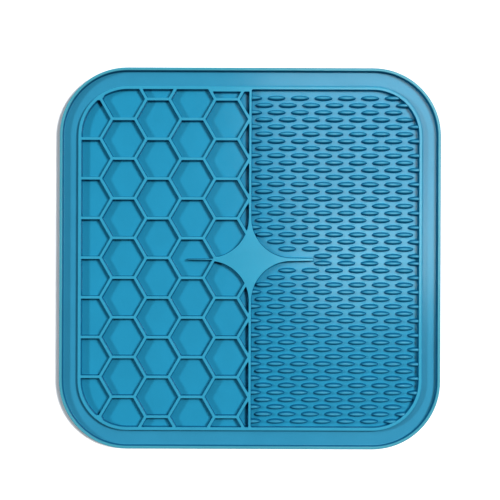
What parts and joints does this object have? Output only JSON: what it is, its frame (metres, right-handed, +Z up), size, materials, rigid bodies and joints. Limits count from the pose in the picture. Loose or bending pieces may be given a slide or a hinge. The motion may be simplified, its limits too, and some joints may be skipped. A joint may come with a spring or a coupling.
{
  "type": "lick mat",
  "caption": "Square moulded silicone lick mat for pets, with a raised rim, a honeycomb half, a half of small rice-grain bumps and a star in the middle.",
  "frame": {"origin": "middle of the flat underside, on the surface that the mat lies on", "axes": "+Z up, +X to the right towards the half with the bumps, +Y up the mat along the divider"},
  "size_m": [0.2, 0.2, 0.0054],
  "materials": {
    "silicone": "moulded silicone rubber, teal blue all through, satin with a soft sheen"
  },
  "bodies": {
    "root": {"mat": "silicone"}
  },
  "joints": []
}
